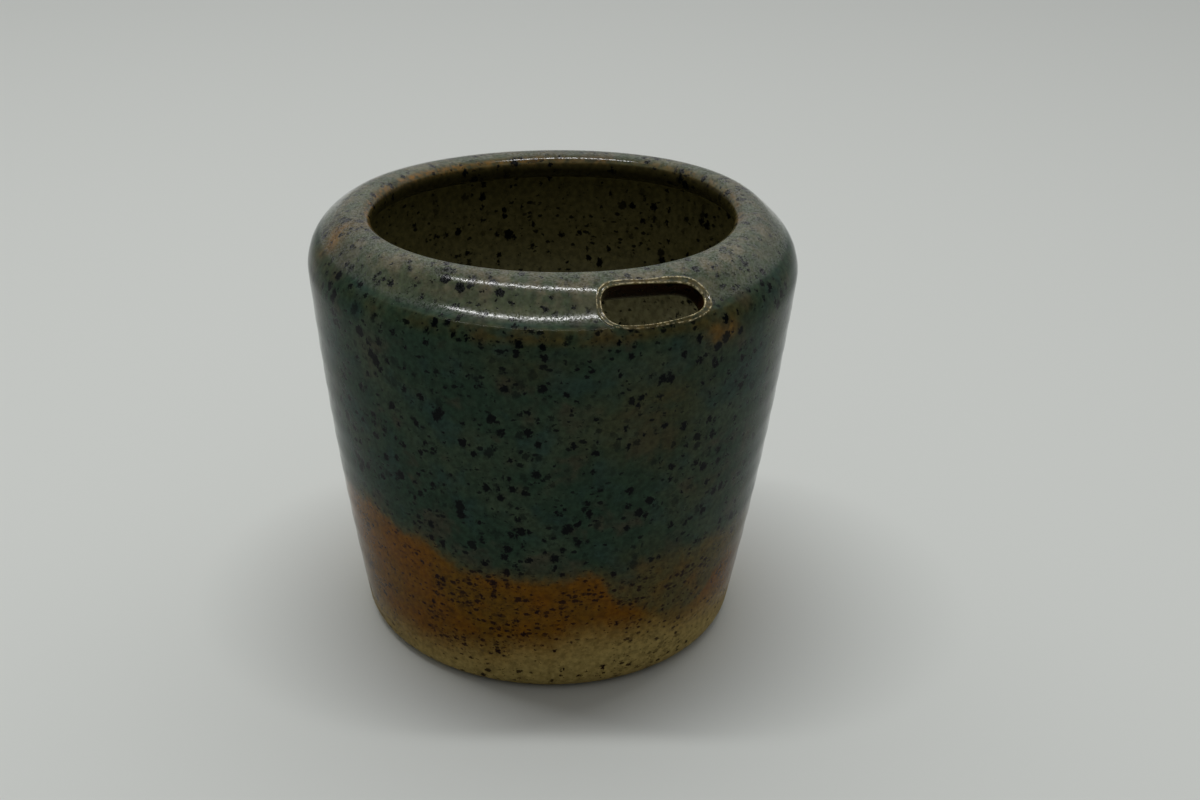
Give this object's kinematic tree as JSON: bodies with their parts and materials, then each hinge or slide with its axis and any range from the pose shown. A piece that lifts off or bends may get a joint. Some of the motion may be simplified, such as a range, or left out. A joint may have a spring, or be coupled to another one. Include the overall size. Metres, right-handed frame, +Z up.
{
  "type": "travel tumbler",
  "caption": "Hand-thrown glazed stoneware travel tumbler with a tapered wall, a turned-in shoulder, an open mouth and a drinking slot cut through the shoulder.",
  "frame": {"origin": "centre of the foot, on the table", "axes": "+Z up along the pot's axis, -Y towards the middle of the drinking slot, +X to the right of someone facing the slot"},
  "size_m": [0.097, 0.097, 0.0884],
  "materials": {
    "speckled_glaze": "glossy grey-green glaze with dark iron speckles, breaking to amber near the foot, on bare buff stoneware underneath"
  },
  "bodies": {
    "root": {"tumbler_body": "speckled_glaze"}
  },
  "joints": []
}
